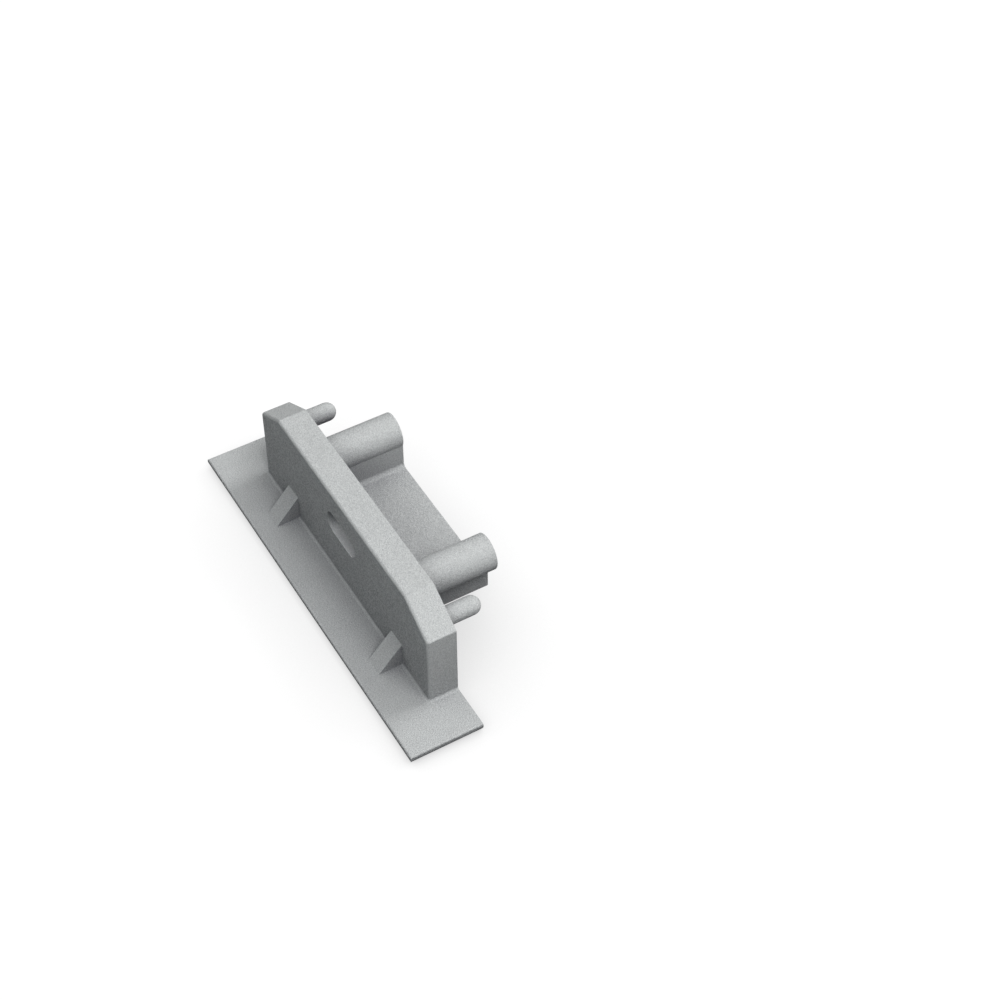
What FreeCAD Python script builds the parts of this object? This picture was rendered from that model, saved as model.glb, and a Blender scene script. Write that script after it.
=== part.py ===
import FreeCAD, Part
import math
import os

import Sketcher

# End cap for a recessed metal profile, moulded in one piece.
# The profile's end lies against the plane y = 0. The posts and pins reach into it, towards +Y.
# The flange stays outside, towards -Y, and its visible face is the plane z = 0.
# The cap is the same on both sides of the plane x = 0. All sizes are in millimetres.

SIZES = {
    # Flange
    "flange_length": 45.2,  # long side of the visible plate
    "flange_width": 8.0,  # short side of the visible plate
    "flange_thickness": 1.2,  # plate thickness
    "flange_edge_round": 0.85,  # round on the three outer edges of the visible face
    "flange_back_round": 0.2,  # small round on the three outer edges of the back
    # Wall that closes the profile
    "wall_length": 35.3,  # length of the wall along the flange
    "wall_thickness": 3.2,  # wall thickness, out from the profile's end
    "wall_rise": 11.5,  # wall height above the flange
    "corner_cut_along": 4.3,  # sloping top corner, along the wall
    "corner_cut_down": 2.6,  # sloping top corner, down the wall
    "wall_edge_round": 0.3,  # round of the edges of the wall's outer face
    "wall_end_round": 0.2,  # round below each sloping corner
    "wall_foot_round": 0.3,  # round at the wall's foot
    # Cable slot
    "slot_length": 6.0,  # overall length of the slot
    "slot_width": 2.8,  # width of the slot and diameter of its round ends
    "slot_rise": 7.15,  # slot's centre above the flange
    # Gussets between the wall and the flange
    "gusset_spacing": 22.4,  # between the centres of the two gussets
    "gusset_thickness": 2.15,  # gusset thickness along the wall
    "gusset_reach": 2.65,  # out from the wall, along the flange
    "gusset_rise": 2.95,  # up the wall, above the flange
    # Posts for the profile's round channels, and the bridge that ties them
    "post_spacing": 19.2,  # between the centres of the two posts
    "post_diameter": 3.9,  # post diameter
    "post_reach": 8.1,  # length of posts and bridge, out from the wall
    "post_rise": 7.7,  # posts' centre above the flange
    "leg_thickness": 1.8,  # upright leg under each post
    "plate_thickness": 1.55,  # flat plate between the two legs
    "plate_gap": 2.35,  # between the plate's underside and the level of the flange
    "bridge_inner_round": 0.5,  # round inside the bridge's two corners
    "bridge_outer_round": 0.2,  # small round outside them
    "rim_round": 0.1,  # soft rim round the free ends of the posts and the bridge
    # Pins that locate the wall on the profile
    "pin_spacing": 30.1,  # between the centres of the two pins
    "pin_diameter": 2.0,  # pin diameter, with a round tip of the same size
    "pin_reach": 4.0,  # from the wall to the pin's tip
    "pin_rise": 8.15,  # pins' centre above the flange
}

TOLERANCE = 1e-4  # lengths closer than a tenth of a micron count as equal
QUARTER_TURN = math.pi / 2
Y_WAY = FreeCAD.Vector(0, 1, 0)
Z_WAY = FreeCAD.Vector(0, 0, 1)

doc = FreeCAD.newDocument("profile_end_cap")
sheet = doc.addObject("Spreadsheet::Sheet", "sizes")
for row, (alias, value) in enumerate(SIZES.items(), start=1):
    sheet.set(f"A{row}", alias)
    sheet.set(f"B{row}", str(value))
    sheet.setAlias(f"B{row}", alias)
doc.recompute()

body = doc.addObject("PartDesign::Body", "end_cap")
body.Label = "end_cap"


def plane(role):
    """One of the body's own origin planes."""
    return next(item for item in body.Origin.OriginFeatures if item.Role == role)


def new_sketch(name, role, across="0", up="0", lift="0"):
    """An empty sketch on an origin plane. Its own origin is moved by three expressions."""
    sketch = body.newObject("Sketcher::SketchObject", name)
    sketch.AttachmentSupport = [(plane(role), "")]
    sketch.MapMode = "FlatFace"
    sketch.setExpression(".AttachmentOffset.Base.x", across)
    sketch.setExpression(".AttachmentOffset.Base.y", up)
    sketch.setExpression(".AttachmentOffset.Base.z", lift)
    return sketch


def point(x, y):
    """A point of a sketch, in the sketch's own plane."""
    return FreeCAD.Vector(x, y, 0)


def closed_outline(sketch, corners):
    """Straight lines through the corners, joined end to end. Line n starts at corner n."""
    count = len(corners)
    for index in range(count):
        start = point(*corners[index])
        end = point(*corners[(index + 1) % count])
        sketch.addGeometry(Part.LineSegment(start, end), False)
    for index in range(count):
        sketch.addConstraint(Sketcher.Constraint("Coincident", index, 2, (index + 1) % count, 1))


def level(sketch, *lines):
    """Keep lines level in the sketch."""
    for line in lines:
        sketch.addConstraint(Sketcher.Constraint("Horizontal", line))


def upright(sketch, *lines):
    """Keep lines upright in the sketch."""
    for line in lines:
        sketch.addConstraint(Sketcher.Constraint("Vertical", line))


def centred(sketch, *pairs):
    """Keep the starts of each pair of lines symmetric about the sketch's upright axis."""
    for left, right in pairs:
        sketch.addConstraint(Sketcher.Constraint("Symmetric", left, 1, right, 1, -2))


def measured(sketch, kind, name, expression, *places):
    """A named dimension of the sketch, driven by an expression of the sheet's sizes."""
    value = sketch.evalExpression(expression)
    index = sketch.addConstraint(Sketcher.Constraint(kind, *places, value))
    sketch.renameConstraint(index, name)
    sketch.setExpression(f"Constraints.{name}", expression)


def pad(name, sketch, length, reverse=False, both_ways=False):
    """Material added from a sketch, along the normal of its plane."""
    feature = body.newObject("PartDesign::Pad", name)
    feature.Profile = sketch
    feature.Reversed = reverse
    feature.SideType = "Symmetric" if both_ways else "One side"
    feature.setExpression("Length", length)
    sketch.Visibility = False
    doc.recompute()
    return feature


def near(a, b):
    """Equal within the tolerance."""
    return abs(a - b) < TOLERANCE


def runs_along(edge, axis):
    """True for a straight edge that runs along an axis."""
    return edge.Curve.TypeId == "Part::GeomLine" and near(abs(edge.Curve.Direction.dot(axis)), 1)


def rounded(name, radius, chosen):
    """A fillet on those edges of the body's last feature that a test chooses."""
    base = body.Tip
    edges = enumerate(base.Shape.Edges, start=1)
    names = [f"Edge{index}" for index, edge in edges if not edge.Degenerated and chosen(edge)]
    feature = body.newObject("PartDesign::Fillet", name)
    feature.Base = (base, names)
    feature.setExpression("Radius", radius)
    doc.recompute()
    return feature


half_flange = sheet.flange_length / 2
half_wall = sheet.wall_length / 2
wall_top = sheet.flange_thickness + sheet.wall_rise

# Flange: a flat plate whose inner long side is flush with the wall
flange_outline = new_sketch("flange_outline", "XY_Plane")
closed_outline(
    flange_outline,
    [
        (-half_flange, 0),
        (half_flange, 0),
        (half_flange, -sheet.flange_width),
        (-half_flange, -sheet.flange_width),
    ],
)
level(flange_outline, 2)
upright(flange_outline, 1, 3)
centred(flange_outline, (0, 1))
flange_outline.addConstraint(Sketcher.Constraint("PointOnObject", 0, 1, -1))
measured(flange_outline, "DistanceX", "length", "sizes.flange_length", 0, 1, 1, 1)
measured(flange_outline, "DistanceY", "width", "sizes.flange_width", 2, 1, 1, 1)
flange = pad("flange", flange_outline, "sizes.flange_thickness")

# Its three outer edges: a large round on the visible face, a small one on the back
rounded(
    "flange_edges",
    "sizes.flange_edge_round",
    lambda edge: near(edge.CenterOfMass.z, 0) and not near(edge.CenterOfMass.y, 0),
)
rounded(
    "flange_back_edges",
    "sizes.flange_back_round",
    lambda edge: near(edge.CenterOfMass.z, sheet.flange_thickness) and not near(edge.CenterOfMass.y, 0),
)

# Wall: rises from the flange and closes the profile, with two sloping top corners
wall_outline = new_sketch("wall_outline", "XZ_Plane")
closed_outline(
    wall_outline,
    [
        (-half_wall, 0),
        (half_wall, 0),
        (half_wall, wall_top - sheet.corner_cut_down),
        (half_wall - sheet.corner_cut_along, wall_top),
        (sheet.corner_cut_along - half_wall, wall_top),
        (-half_wall, wall_top - sheet.corner_cut_down),
    ],
)
upright(wall_outline, 1)
centred(wall_outline, (0, 1), (5, 2), (4, 3))
wall_outline.addConstraint(Sketcher.Constraint("PointOnObject", 0, 1, -1))
measured(wall_outline, "DistanceX", "length", "sizes.wall_length", 0, 1, 1, 1)
measured(wall_outline, "DistanceX", "cut_along", "sizes.corner_cut_along", 3, 1, 2, 1)
measured(wall_outline, "DistanceY", "cut_down", "sizes.corner_cut_down", 2, 1, 3, 1)
measured(wall_outline, "DistanceY", "top", "sizes.flange_thickness + sizes.wall_rise", 1, 1, 3, 1)
wall = pad("wall", wall_outline, "sizes.wall_thickness")

# Soft edges: first below each sloping corner, then round the outer face. Last comes the
# small round at the foot, where the two ends meet the flange. It follows the soft upright
# edges and so runs on along the outer face.
rounded(
    "wall_end_edges",
    "sizes.wall_end_round",
    lambda edge: runs_along(edge, Y_WAY)
    and near(abs(edge.CenterOfMass.x), half_wall)
    and near(edge.CenterOfMass.z, wall_top - sheet.corner_cut_down),
)
rounded(
    "wall_outer_edges",
    "sizes.wall_edge_round",
    lambda edge: near(edge.CenterOfMass.y, -sheet.wall_thickness)
    and edge.CenterOfMass.z > sheet.flange_thickness + TOLERANCE,
)
rounded(
    "wall_foot",
    "sizes.wall_foot_round",
    lambda edge: runs_along(edge, Y_WAY)
    and near(edge.CenterOfMass.z, sheet.flange_thickness)
    and near(abs(edge.CenterOfMass.x), half_wall),
)

# Bridge: a flat plate with an upright leg at each end. Each leg's outer face stands under
# the middle of its post, and the leg runs up to the post's centre.
post_x = sheet.post_spacing / 2
post_z = sheet.flange_thickness + sheet.post_rise
leg_x = post_x - sheet.leg_thickness
plate_bottom = sheet.flange_thickness + sheet.plate_gap
plate_top = plate_bottom + sheet.plate_thickness
bridge_outline = new_sketch("bridge_outline", "XZ_Plane")
closed_outline(
    bridge_outline,
    [
        (-post_x, plate_bottom),
        (post_x, plate_bottom),
        (post_x, post_z),
        (leg_x, post_z),
        (leg_x, plate_top),
        (-leg_x, plate_top),
        (-leg_x, post_z),
        (-post_x, post_z),
    ],
)
level(bridge_outline, 2, 6)
upright(bridge_outline, 1, 3, 5, 7)
centred(bridge_outline, (0, 1), (5, 4))
measured(bridge_outline, "DistanceX", "width", "sizes.post_spacing", 0, 1, 1, 1)
measured(bridge_outline, "DistanceX", "leg", "sizes.leg_thickness", 3, 1, 2, 1)
measured(bridge_outline, "DistanceY", "plate", "sizes.plate_thickness", 0, 1, 5, 1)
measured(bridge_outline, "DistanceY", "plate_height", "sizes.flange_thickness + sizes.plate_gap", -1, 1, 0, 1)
measured(bridge_outline, "DistanceY", "leg_top", "sizes.flange_thickness + sizes.post_rise", -1, 1, 2, 1)
bridge_outline.addConstraint(Sketcher.Constraint("Horizontal", 2, 1, 6, 1))
bridge = pad("bridge", bridge_outline, "sizes.post_reach", reverse=True)

rounded(
    "bridge_inner_corners",
    "sizes.bridge_inner_round",
    lambda edge: runs_along(edge, Y_WAY)
    and near(edge.CenterOfMass.z, plate_top)
    and near(abs(edge.CenterOfMass.x), leg_x),
)
rounded(
    "bridge_outer_corners",
    "sizes.bridge_outer_round",
    lambda edge: runs_along(edge, Y_WAY)
    and near(edge.CenterOfMass.z, plate_bottom)
    and near(abs(edge.CenterOfMass.x), post_x),
)

# Post: a plain round bar on top of the leg
post_section = new_sketch("post_section", "XZ_Plane")
post_circle = Part.Circle(point(post_x, post_z), Z_WAY, sheet.post_diameter / 2)
post_section.addGeometry(post_circle, False)
measured(post_section, "Diameter", "diameter", "sizes.post_diameter", 0)
measured(post_section, "DistanceX", "along", "sizes.post_spacing / 2", -1, 1, 0, 3)
measured(post_section, "DistanceY", "height", "sizes.flange_thickness + sizes.post_rise", -1, 1, 0, 3)
post = pad("post", post_section, "sizes.post_reach", reverse=True)

# Pin: turned about its own axis, with a round tip
pin_profile = new_sketch(
    "pin_profile",
    "YZ_Plane",
    up="sizes.flange_thickness + sizes.pin_rise",
    lift="sizes.pin_spacing / 2",
)
pin_radius = sheet.pin_diameter / 2
tip_centre = sheet.pin_reach - pin_radius
pin_profile.addGeometry(Part.LineSegment(point(sheet.pin_reach, 0), point(0, 0)), False)
pin_profile.addGeometry(Part.LineSegment(point(0, 0), point(0, pin_radius)), False)
pin_profile.addGeometry(Part.LineSegment(point(0, pin_radius), point(tip_centre, pin_radius)), False)
tip_circle = Part.Circle(point(tip_centre, 0), Z_WAY, pin_radius)
pin_profile.addGeometry(Part.ArcOfCircle(tip_circle, 0, QUARTER_TURN), False)
pin_profile.addConstraint(Sketcher.Constraint("Coincident", 0, 2, -1, 1))
pin_profile.addConstraint(Sketcher.Constraint("Coincident", 0, 2, 1, 1))
pin_profile.addConstraint(Sketcher.Constraint("Coincident", 1, 2, 2, 1))
pin_profile.addConstraint(Sketcher.Constraint("Tangent", 2, 2, 3, 2))
pin_profile.addConstraint(Sketcher.Constraint("Coincident", 3, 1, 0, 1))
pin_profile.addConstraint(Sketcher.Constraint("PointOnObject", 3, 3, -1))
level(pin_profile, 0, 2)
upright(pin_profile, 1)
measured(pin_profile, "DistanceY", "radius", "sizes.pin_diameter / 2", 1, 1, 1, 2)
measured(pin_profile, "DistanceX", "reach", "sizes.pin_reach", 0, 2, 0, 1)
pin = body.newObject("PartDesign::Revolution", "pin")
pin.Profile = pin_profile
pin.ReferenceAxis = (pin_profile, ["H_Axis"])
pin.Angle = 360
pin_profile.Visibility = False
doc.recompute()

# Gusset: a triangle that props the wall on the flange
gusset_outline = new_sketch("gusset_outline", "YZ_Plane", lift="sizes.gusset_spacing / 2")
gusset_foot = -sheet.wall_thickness - sheet.gusset_reach
gusset_top = sheet.flange_thickness + sheet.gusset_rise
closed_outline(
    gusset_outline,
    [
        (-sheet.wall_thickness, sheet.flange_thickness),
        (-sheet.wall_thickness, gusset_top),
        (gusset_foot, sheet.flange_thickness),
    ],
)
upright(gusset_outline, 0)
level(gusset_outline, 2)
measured(gusset_outline, "DistanceX", "wall_face", "sizes.wall_thickness", 0, 1, -1, 1)
measured(gusset_outline, "DistanceY", "flange_face", "sizes.flange_thickness", -1, 1, 0, 1)
measured(gusset_outline, "DistanceY", "rise", "sizes.gusset_rise", 0, 1, 1, 1)
measured(gusset_outline, "DistanceX", "reach", "sizes.gusset_reach", 2, 1, 0, 1)
gusset = pad("gusset", gusset_outline, "sizes.gusset_thickness", both_ways=True)

# The other half's post, pin and gusset
other_half = body.newObject("PartDesign::Mirrored", "other_half")
other_half.Originals = [post, pin, gusset]
other_half.MirrorPlane = (plane("YZ_Plane"), [""])
body.Tip = other_half
doc.recompute()

# The free ends of the posts and the bridge have a soft rim
rounded(
    "free_end_rim",
    "sizes.rim_round",
    lambda edge: near(edge.BoundBox.YMin, sheet.post_reach),
)

# Cable slot: straight through the wall, with round ends
slot_z = sheet.flange_thickness + sheet.slot_rise
slot_radius = sheet.slot_width / 2
slot_run = (sheet.slot_length - sheet.slot_width) / 2
slot_outline = new_sketch("slot_outline", "XZ_Plane")
right_end = Part.Circle(point(slot_run, slot_z), Z_WAY, slot_radius)
left_end = Part.Circle(point(-slot_run, slot_z), Z_WAY, slot_radius)
slot_outline.addGeometry(Part.ArcOfCircle(right_end, -QUARTER_TURN, QUARTER_TURN), False)
slot_outline.addGeometry(
    Part.LineSegment(point(slot_run, slot_z + slot_radius), point(-slot_run, slot_z + slot_radius)), False
)
slot_outline.addGeometry(Part.ArcOfCircle(left_end, QUARTER_TURN, 3 * QUARTER_TURN), False)
slot_outline.addGeometry(
    Part.LineSegment(point(-slot_run, slot_z - slot_radius), point(slot_run, slot_z - slot_radius)), False
)
slot_outline.addConstraint(Sketcher.Constraint("Tangent", 0, 2, 1, 1))
slot_outline.addConstraint(Sketcher.Constraint("Tangent", 1, 2, 2, 1))
slot_outline.addConstraint(Sketcher.Constraint("Tangent", 2, 2, 3, 1))
slot_outline.addConstraint(Sketcher.Constraint("Tangent", 3, 2, 0, 1))
slot_outline.addConstraint(Sketcher.Constraint("Symmetric", 0, 3, 2, 3, -2))
level(slot_outline, 1)
measured(slot_outline, "Radius", "end_radius", "sizes.slot_width / 2", 0)
measured(slot_outline, "DistanceX", "run", "sizes.slot_length - sizes.slot_width", 2, 3, 0, 3)
measured(slot_outline, "DistanceY", "height", "sizes.flange_thickness + sizes.slot_rise", -1, 1, 0, 3)
before_slot = body.Tip.Shape.Volume
slot = body.newObject("PartDesign::Pocket", "slot")
slot.Profile = slot_outline
slot.Reversed = True
slot.setExpression("Length", "sizes.wall_thickness")
slot_outline.Visibility = False
doc.recompute()
if body.Tip.Shape.Volume >= before_slot:
    raise SystemExit("the slot cuts nothing")

# Every feature has to be sound before anything is written
for item in doc.Objects:
    if "Invalid" in item.State or "Error" in item.State:
        raise SystemExit(f"{item.Name}: {item.State}")
if body.Shape.isNull() or not body.Shape.isValid():
    raise SystemExit("the end cap's shape is not valid")
if len(body.Shape.Solids) != 1:
    raise SystemExit("the end cap is not one solid")

print("volume", round(body.Shape.Volume, 2), "box", body.Shape.BoundBox)
os.makedirs("parts", exist_ok=True)
body.Shape.exportStep(os.path.join("parts", body.Label + ".step"))
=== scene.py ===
# %% [markdown]
# # A moulded end cap, from a bare model to a finished picture
#
# The cap is a small grey moulding that closes the end of a recessed metal profile.
# Its shape comes ready made, as one solid with every round and hole in it.
# This lesson gives that shape its plastic surface, a floor, light and a camera.
# All lengths are in metres, so 0.001 is a millimetre.

# %% Load the model
import math

import bpy
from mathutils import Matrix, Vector


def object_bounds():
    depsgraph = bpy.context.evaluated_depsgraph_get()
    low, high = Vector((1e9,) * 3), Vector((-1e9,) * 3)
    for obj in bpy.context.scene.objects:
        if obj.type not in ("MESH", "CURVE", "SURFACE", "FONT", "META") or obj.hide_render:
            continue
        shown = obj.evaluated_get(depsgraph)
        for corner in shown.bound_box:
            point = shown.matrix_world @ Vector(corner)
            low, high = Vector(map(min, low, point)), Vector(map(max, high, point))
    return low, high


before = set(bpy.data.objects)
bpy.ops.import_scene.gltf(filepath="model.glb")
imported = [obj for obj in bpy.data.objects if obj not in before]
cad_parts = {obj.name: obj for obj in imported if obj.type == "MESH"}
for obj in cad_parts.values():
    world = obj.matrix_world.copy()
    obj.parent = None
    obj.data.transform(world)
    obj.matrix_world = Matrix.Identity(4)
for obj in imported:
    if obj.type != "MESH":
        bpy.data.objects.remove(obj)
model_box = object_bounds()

MM = 0.001
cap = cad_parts["end_cap"]
print("the cap has", len(cap.data.polygons), "faces")

# %% [markdown]
# ## How large is it?
#
# Sizes come first, because grain, lamps and camera are all chosen to suit them.
# The box below is measured on the model, so the numbers can't drift from the shape.

# %% Measure the cap
low, high = (Vector(corner) for corner in model_box)
extent = high - low
middle = (low + high) / 2
print("length, width and height in mm:", [round(size / MM, 2) for size in extent])

# %% [markdown]
# ## Making nodes by name
#
# A material is a small network, and each node needs its kind, its values and its links.
# One helper keeps that readable. It adds a node and fills its inputs: a plain value is
# typed in, and an output of another node is linked. Properties that aren't inputs, such
# as the sum that a Math node works out, are given by name at the end.

# %% Node helper
def add_node(tree, kind, inputs=None, **properties):
    """A node of a tree, with its properties set and its inputs filled or linked."""
    node = tree.nodes.new(kind)
    for name, value in properties.items():
        setattr(node, name, value)
    for name, value in (inputs or {}).items():
        if isinstance(value, bpy.types.NodeSocket):
            tree.links.new(value, node.inputs[name])
        else:
            node.inputs[name].default_value = value
    return node


print("node helper ready")

# %% [markdown]
# ## Short forms
#
# A few nodes come back all the time, so each of them gets a short form, which hands on
# the node's output. With these, the cells below read almost like plain sums.

# %% Short forms for sums, ramps and blends
def calculate(tree, operation, *values, clamp=False):
    """What a Math node works out from up to three values."""
    inputs = dict(enumerate(values))
    node = add_node(tree, "ShaderNodeMath", inputs, operation=operation, use_clamp=clamp)
    return node.outputs[0]


def ramp(tree, value, first, last, start=0.0, end=1.0):
    """A number that goes from first to last while the value goes from start to end."""
    inputs = {"Value": value, "From Min": start, "From Max": end}
    inputs.update({"To Min": first, "To Max": last})
    return add_node(tree, "ShaderNodeMapRange", inputs).outputs["Result"]


def blend(tree, share, first, last):
    """A colour that goes from first to last while the share goes from 0 to 1."""
    # A Mix node also has sockets for numbers and vectors. Its colours go into
    # sockets 6 and 7, and the blend comes out at socket 2.
    inputs = {0: share, 6: first, 7: last}
    return add_node(tree, "ShaderNodeMix", inputs, data_type="RGBA").outputs[2]


print("short forms ready")

# %% [markdown]
# ## Groups: effects that are built once
#
# An effect that comes back with other values is worth a node group of its own.
# Its inputs have names, like the knobs of a machine, and each place where the group
# stands sets them anew. Both groups here put out a single value.

# %% Group helpers
def new_group(name, numbers, vectors=()):
    """A node group that takes vectors and numbers, each number with a usual value."""
    group = bpy.data.node_groups.new(name, "ShaderNodeTree")
    sockets = group.interface
    for title in vectors:
        sockets.new_socket(title, in_out="INPUT", socket_type="NodeSocketVector")
    for title, usual in numbers.items():
        knob = sockets.new_socket(title, in_out="INPUT", socket_type="NodeSocketFloat")
        knob.default_value = usual
    sockets.new_socket("Value", in_out="OUTPUT", socket_type="NodeSocketFloat")
    return group


def use_group(tree, group, **inputs):
    """The value of a group that stands in a tree with inputs of its own."""
    return add_node(tree, "ShaderNodeGroup", inputs, node_tree=group).outputs["Value"]


print("group helpers ready")

# %% [markdown]
# ## Grain: the texture of the mould
#
# The steel mould of such a part is spark eroded, which leaves fine pits all over it.
# The plastic copies them, and so the surface looks matt and slightly sandy.
# Modelling each pit would take millions of faces. A picture of grain would stretch
# round the posts. Noise in three dimensions has neither fault: it fills space, and
# the surface simply cuts through it.
#
# The same effect is wanted at several sizes and for colour, gloss and height alike,
# so it is the first group. Its value lies round one half.

# %% The grain group
OCTAVES, HARSHNESS = 2.0, 0.6
MEAN = 0.5


def grain_group():
    """Noise of a given size in metres, spread about its mean by a given contrast."""
    group = new_group(
        "mould_grain",
        vectors=["Position"],
        numbers={"Size": 0.2 * MM, "Contrast": 1.0},
    )
    inside = add_node(group, "NodeGroupInput").outputs
    noise = add_node(
        group,
        "ShaderNodeTexNoise",
        {
            "Vector": inside["Position"],
            "Scale": calculate(group, "DIVIDE", 1.0, inside["Size"]),
            "Detail": OCTAVES,
            "Roughness": HARSHNESS,
        },
    ).outputs["Fac"]
    centred = calculate(group, "SUBTRACT", noise, MEAN)
    spread = calculate(
        group, "MULTIPLY_ADD", centred, inside["Contrast"], MEAN, clamp=True
    )
    add_node(group, "NodeGroupOutput", {"Value": spread})
    return group


MOULD_GRAIN = grain_group()
print("mould_grain takes", [socket.name for socket in MOULD_GRAIN.interface.items_tree])

# %% [markdown]
# ## Painted corner shade
#
# Inner corners of the cap get less light than the open faces: light has to come in past
# the wall and the posts, and the matt pits swallow part of it again. That shade is painted
# in.
# A group measures how open each spot is. It looks out to a given reach and puts out 1
# for a spot that nothing covers, and less for one deep in a corner.
#
# Lamps alone shade a corner too, but too little for a surface this rough. The group
# paints the rest into the colour as shade, and the floor uses it for a painted shadow.

# %% The corner group
FEELERS = 8


def make_painted_shade_group():
    """How open a spot is, from 0 to 1, within a reach in metres, raised to a power."""
    group = new_group("painted_corner_shade", numbers={"Reach": 12 * MM, "Power": 1.0})
    inside = add_node(group, "NodeGroupInput").outputs
    openness = add_node(
        group,
        "ShaderNodeAmbientOcclusion",
        {"Distance": inside["Reach"]},
        samples=FEELERS,
    ).outputs["AO"]
    shade = calculate(group, "POWER", openness, inside["Power"])
    add_node(group, "NodeGroupOutput", {"Value": shade})
    return group


PAINTED_CORNER_SHADE = make_painted_shade_group()
print("painted_corner_shade takes", [socket.name for socket in PAINTED_CORNER_SHADE.interface.items_tree])

# %% [markdown]
# ## The pits
#
# The material starts with its pits, because colour, painted shade and gloss all follow
# them.
# They are about a tenth of a millimetre across, which a close look just resolves.
#
# The wall's outer face keeps its grain even in the shade, where soft light should hide
# it. So its pits must be a little deeper, and deeper pits are wider too. That face
# looks along -Y, and the surface's own direction finds it.

# %% Start the material
def empty_tree(owner):
    """The node tree of a new material or world, cleared."""
    owner.use_nodes = True
    owner.node_tree.nodes.clear()
    return owner.node_tree


plastic = bpy.data.materials.new("grey_moulding")
tree = empty_tree(plastic)
coordinates = add_node(tree, "ShaderNodeTexCoord").outputs
place, direction = coordinates["Object"], coordinates["Normal"]
print("started the material", plastic.name)

# %% Make the pits
PIT_SIZE, DEEP_PIT_SIZE = 0.11 * MM, 0.15 * MM
PIT_CONTRAST, DEEP_PIT_CONTRAST = 2.8, 4.8
DEEP_FROM, DEEP_TO = -0.8, -1.0

along_y = add_node(tree, "ShaderNodeSeparateXYZ", {0: direction}).outputs["Y"]
deep = ramp(tree, along_y, 0.0, 1.0, start=DEEP_FROM, end=DEEP_TO)
pits = use_group(
    tree,
    MOULD_GRAIN,
    Position=place,
    Size=ramp(tree, deep, PIT_SIZE, DEEP_PIT_SIZE),
    Contrast=ramp(tree, deep, PIT_CONTRAST, DEEP_PIT_CONTRAST),
)
print("pits, in mm:", round(PIT_SIZE / MM, 2), "to", round(DEEP_PIT_SIZE / MM, 2))

# %% [markdown]
# ## The grey
#
# The cap is dyed through in a light, neutral grey, a touch cooler than paper.
# Its colour isn't quite even. Pits look darker than the ridges between them, and over
# a few millimetres the pigment drifts a little, as it does where plastic flows into
# a mould. Both are mixed from a darker and a lighter shade of the same grey.

# %% Mix the grey
PIT_GREY = (0.41, 0.42, 0.422, 1.0)
RIDGE_GREY = (0.70, 0.716, 0.71, 1.0)
DRIFT_SIZE, DRIFT_CONTRAST, DRIFT_SHARE = 3.0 * MM, 0.8, 0.25

drift = use_group(
    tree, MOULD_GRAIN, Position=place, Size=DRIFT_SIZE, Contrast=DRIFT_CONTRAST
)
tone = ramp(tree, DRIFT_SHARE, pits, drift)
grey = blend(tree, tone, PIT_GREY, RIDGE_GREY)
print("the grey runs from", PIT_GREY[:3], "to", RIDGE_GREY[:3])

# %% [markdown]
# ## The slot: painted light, and painted shade at its far end
#
# The cable slot is open on both sides of the wall, so light falls into it from the
# front and from the back. Its floor is bright, and only its far end is dark.
# A measure of corners can't know that, so the slot gets a painted openness of its own:
# painted light on its floor, which falls to painted shade at the far end.
#
# The slot fills a box in space. Along each axis, a Compare node tells whether a spot
# lies near enough to the middle of that box. The box is a tenth of a millimetre larger
# than the slot along X and Z, to hold its surface, and ends just inside the wall's
# two faces.

# %% Find the slot
SLOT_MIDDLE = Vector((0.0, -1.6, 8.35)) * MM
SLOT_HALF = Vector((3.1, 1.59, 1.5)) * MM
SLOT_PAINTED_OPENNESS = 0.62
FAR_END_PAINTED_DARK, FAR_END_PAINTED_LIGHT = -3.0 * MM, -2.4 * MM

axes = add_node(tree, "ShaderNodeSeparateXYZ", {0: place}).outputs
# Painted light in the slot, falling to painted shade at its far end.
slot_painted_light = ramp(
    tree, axes["X"], 0.0, SLOT_PAINTED_OPENNESS, start=FAR_END_PAINTED_DARK, end=FAR_END_PAINTED_LIGHT
)
for coordinate, centre, half in zip(axes, SLOT_MIDDLE, SLOT_HALF):
    near = calculate(tree, "COMPARE", coordinate, centre, half)
    slot_painted_light = calculate(tree, "MULTIPLY", slot_painted_light, near)
print("the slot's box, in mm:", [round(2 * half / MM, 2) for half in SLOT_HALF])

# %% [markdown]
# ## Painted shade in the corners
#
# The painted shade group now darkens the grey: corner shade is painted into the colour.
# A pit in a corner is a corner in a corner, so pits get a higher power than ridges, and
# the grain stays crisp in the painted shade. In the slot, the slot's painted openness
# counts where it is the higher one. The deepest places are painted slightly cool, as the
# stray light there is.

# %% Shade the grey
CORNER_REACH = 12 * MM
PIT_POWER, RIDGE_POWER = 1.0, 0.7
PAINTED_SHADE_TINT = (0.11, 0.105, 0.135, 1.0)
OPEN_TINT = (1.0, 1.0, 1.0, 1.0)

power = ramp(tree, pits, PIT_POWER, RIDGE_POWER)
measured = use_group(tree, PAINTED_CORNER_SHADE, Reach=CORNER_REACH, Power=power)
openness = calculate(tree, "MAXIMUM", measured, slot_painted_light)
# Painted shade: the grey is darkened and cooled where a spot is less open.
tint = blend(tree, openness, PAINTED_SHADE_TINT, OPEN_TINT)
colour = add_node(
    tree, "ShaderNodeVectorMath", {0: grey, 1: tint}, operation="MULTIPLY"
).outputs[0]
print("corners are felt out to", round(CORNER_REACH / MM), "mm")

# %% [markdown]
# ## Gloss and relief
#
# The pits scatter light, so the plastic is rough, and the ridges between them are
# rubbed a little smoother. The noise of the colour therefore drives the gloss as well.
# Relief comes from a Bump node, with a grain that is slightly coarser than the pits.
# It tilts the shading only, which is right for dents of a few hundredths of
# a millimetre, because nobody can see their outline.

# %% Roughness and bump
PIT_ROUGHNESS, RIDGE_ROUGHNESS = 0.85, 0.65
DENT_SIZE, DENT_CONTRAST, DENT_DEPTH = 0.12 * MM, 1.6, 0.05 * MM

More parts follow.
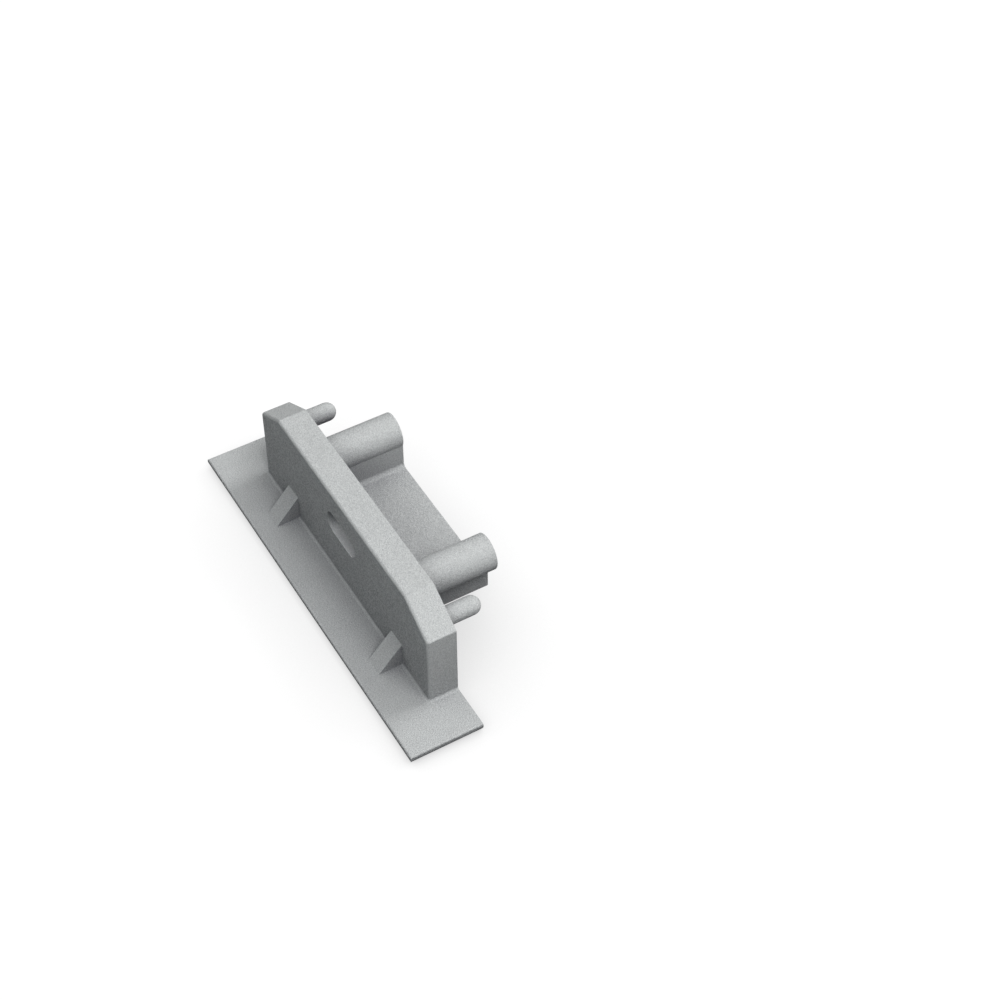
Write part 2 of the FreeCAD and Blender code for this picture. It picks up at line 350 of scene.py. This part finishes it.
roughness = ramp(tree, pits, PIT_ROUGHNESS, RIDGE_ROUGHNESS)
dents = use_group(
    tree, MOULD_GRAIN, Position=place, Size=DENT_SIZE, Contrast=DENT_CONTRAST
)
relief = add_node(
    tree, "ShaderNodeBump", {"Height": dents, "Distance": DENT_DEPTH}
).outputs["Normal"]
print("dents, in mm:", round(DENT_SIZE / MM, 2), "across")

# %% [markdown]
# ## The plastic itself
#
# One Principled shader takes all of this. Plastic bends light by about 1.5, which is
# its IOR. Its shine is turned down, because the pits hide most of it.

# %% Put the surface together
PLASTIC_IOR, SHINE = 1.5, 0.2

surface = add_node(
    tree,
    "ShaderNodeBsdfPrincipled",
    {
        "Base Color": colour,
        "Roughness": roughness,
        "Normal": relief,
        "IOR": PLASTIC_IOR,
        "Specular IOR Level": SHINE,
    },
).outputs["BSDF"]
add_node(tree, "ShaderNodeOutputMaterial", {"Surface": surface})
print("the plastic has", len(tree.nodes), "nodes")

# %% [markdown]
# ## Dress the cap
#
# The model already has its slot for this finish, so the plastic goes into that slot.
# Its mesh stays as it is.

# %% Put the plastic on
for slot in cap.material_slots:
    slot.material = plastic
print("slots filled:", len(cap.material_slots))

# %% [markdown]
# ## A white floor with a mostly painted shadow
#
# Product pictures stand on white, but a floor that is lit until it turns white throws
# that light back at the object from below, and dark sides turn pale.
# So this floor has two faces. The camera, and anything that reflects or shows it, sees
# white paper with a soft shadow on it, which is mostly painted. All other light meets a
# darker grey.

# %% Floor
FLOOR_SIZE = 4.0

bpy.ops.mesh.primitive_plane_add(size=FLOOR_SIZE, location=(0.0, 0.0, low.z))
floor = bpy.context.object
floor.name = "floor"

paper = bpy.data.materials.new("white_paper")
tree = empty_tree(paper)
print("the floor is", FLOOR_SIZE, "m across and lies at height", round(low.z, 6))

# %% [markdown]
# ## The paper that is seen
#
# Most of the paper's white is a glow, dimmed where the cap stands close over it: a painted
# shadow. The painted shade group measures that, and it gives the narrow soft shadow round
# the flange.
# A small part is true light from the lamps, which keeps their own shadows alive there.
# Beyond its reach the paper is fully white and meets the white world with no edge.

# %% Paper to look at
CONTACT_REACH, CONTACT_POWER = 16 * MM, 1.0
PAINTED_SHADOW_GLOW, OPEN_GLOW = 0.53, 1.0
LIT_GREY = (0.05, 0.05, 0.05, 1.0)

# Painted shadow: the floor's glow dims where the cap stands close over it.
bare = use_group(tree, PAINTED_CORNER_SHADE, Reach=CONTACT_REACH, Power=CONTACT_POWER)
glow_with_painted_shadow = ramp(tree, bare, PAINTED_SHADOW_GLOW, OPEN_GLOW)
glowing = add_node(tree, "ShaderNodeEmission", {"Color": glow_with_painted_shadow}).outputs[0]
lit = add_node(tree, "ShaderNodeBsdfDiffuse", {"Color": LIT_GREY}).outputs[0]
seen = add_node(tree, "ShaderNodeAddShader", {0: lit, 1: glowing}).outputs[0]
print("the contact shadow reaches", round(CONTACT_REACH / MM), "mm")

# %% [markdown]
# ## The paper that light meets
#
# The other face of the floor is dark, so little light comes back up from it.
# Light Path tells the two kinds of rays apart, and a Mix Shader picks the face.

# %% Paper for all other light
BOUNCE_GREY = (0.094, 0.10, 0.105, 1.0)


def seen_directly(tree):
    """1 for rays from the camera, from a gloss or through something clear, else 0."""
    rays = add_node(tree, "ShaderNodeLightPath").outputs
    direct = calculate(tree, "MAXIMUM", rays["Is Camera Ray"], rays["Is Glossy Ray"])
    return calculate(tree, "MAXIMUM", direct, rays["Is Transmission Ray"])


def two_faced(tree, hidden, shown):
    """A shader that is shown to those who look at it, and hidden from other light."""
    inputs = {0: seen_directly(tree), 1: hidden, 2: shown}
    return add_node(tree, "ShaderNodeMixShader", inputs).outputs[0]


bounce = add_node(tree, "ShaderNodeBsdfDiffuse", {"Color": BOUNCE_GREY}).outputs[0]
add_node(tree, "ShaderNodeOutputMaterial", {"Surface": two_faced(tree, bounce, seen)})
floor.data.materials.append(paper)
print("the floor throws back", BOUNCE_GREY[:3])

# %% [markdown]
# ## The room
#
# The world plays the same trick: white to look at, but only a faint, slightly cool
# glow as a light. That glow keeps the deepest corners from turning black.

# %% World
GLOW_TINT, GLOW = (0.90, 0.97, 1.0, 1.0), 0.01
WHITE, FULL = (1.0, 1.0, 1.0, 1.0), 1.0

room = bpy.data.worlds.new("room")
bpy.context.scene.world = room
tree = empty_tree(room)
glow, backdrop = (
    add_node(tree, "ShaderNodeBackground", {"Color": tint, "Strength": level}).outputs[0]
    for tint, level in ((GLOW_TINT, GLOW), (WHITE, FULL))
)
add_node(tree, "ShaderNodeOutputWorld", {"Surface": two_faced(tree, glow, backdrop)})
print("the room glows at", GLOW)

# %% [markdown]
# ## Pointing things at the cap
#
# Lamps and the camera have the same need: each looks at one point, from a direction
# and a distance. Two angles describe a direction best, so a helper turns them into
# a place and a rotation.

# %% Aim helper
def aim(name, data, target, azimuth, elevation, distance):
    """An object that looks at a target.

    Azimuth runs from +X towards +Y and elevation up from the floor, in degrees.
    """
    across, up = math.radians(azimuth), math.radians(elevation)
    outward = Vector(
        (math.cos(across) * math.cos(up), math.sin(across) * math.cos(up), math.sin(up))
    )
    aimed = bpy.data.objects.new(name, data)
    aimed.location = target + outward * distance
    aimed.rotation_euler = outward.to_track_quat("Z", "Y").to_euler()
    bpy.context.scene.collection.objects.link(aimed)
    return aimed


print("aim helper ready")

# %% [markdown]
# ## Lamps
#
# Round soft boxes give matt plastic its slow, clean shading. The main one hangs high
# beyond the near end. A second stands low behind the posts: it rims the wall's top,
# and the wall shades the flange from it. A weak, cool one in front opens that shade
# and lights the two gussets. The last does the same for the far end.
#
# A lamp's power says little by itself, so each gets a level instead: at level 1, a white
# card that faces the lamp comes out white. The power follows from level and distance.
# Together the four stay near level 1 on the top faces, so the grey looks as mixed.

# %% Soft lamps
LAMP_DISTANCE = 0.5
NEUTRAL, COOL = (1.0, 1.0, 1.0), (0.94, 0.98, 1.0)


def soft_lamp(name, azimuth, elevation, size, level, tint):
    """A round lamp that looks at the middle of the cap."""
    light = bpy.data.lights.new(name, "AREA")
    light.shape = "DISK"
    light.size = size
    light.color = tint
    light.energy = level * (math.pi * LAMP_DISTANCE) ** 2
    aim(name, light, middle, azimuth, elevation, LAMP_DISTANCE)
    print(f"{name}: level {level}, {size} m across")


soft_lamp("high", azimuth=0, elevation=61, size=0.3, level=0.75, tint=NEUTRAL)
soft_lamp("back", azimuth=90, elevation=30, size=0.22, level=0.53, tint=NEUTRAL)
soft_lamp("front", azimuth=300, elevation=45, size=0.22, level=0.18, tint=COOL)
soft_lamp("far end", azimuth=180, elevation=8, size=0.12, level=0.08, tint=COOL)

# %% [markdown]
# ## Camera
#
# The view looks down on the cap from beyond its near end, over its outer side.
# A long lens from about 220 mm away keeps the long sides nearly parallel.
# The point that it looks at lies beside the cap, so the cap stands left in the frame.

# %% Camera
LENS_MM, FILM_MM = 75.47, 36.0
NEAREST = 10 * MM
LOOK_AT = Vector((-2.56, 16.59, 0.0)) * MM
AZIMUTH, ELEVATION, DISTANCE = -30.40, 47.81, 222.31 * MM

view = bpy.data.cameras.new("camera")
view.lens = LENS_MM
view.sensor_width = FILM_MM
view.clip_start = NEAREST
camera = aim("camera", view, LOOK_AT, AZIMUTH, ELEVATION, DISTANCE)
bpy.context.scene.camera = camera
print("the camera stands at, in mm:", [round(value / MM, 1) for value in camera.location])

# %% [markdown]
# ## Colours as they are written
#
# The Standard view shows a colour as its material gives it, with no film look on top.

# %% View
bpy.context.scene.view_settings.view_transform = "Standard"
print("view:", bpy.context.scene.view_settings.view_transform)
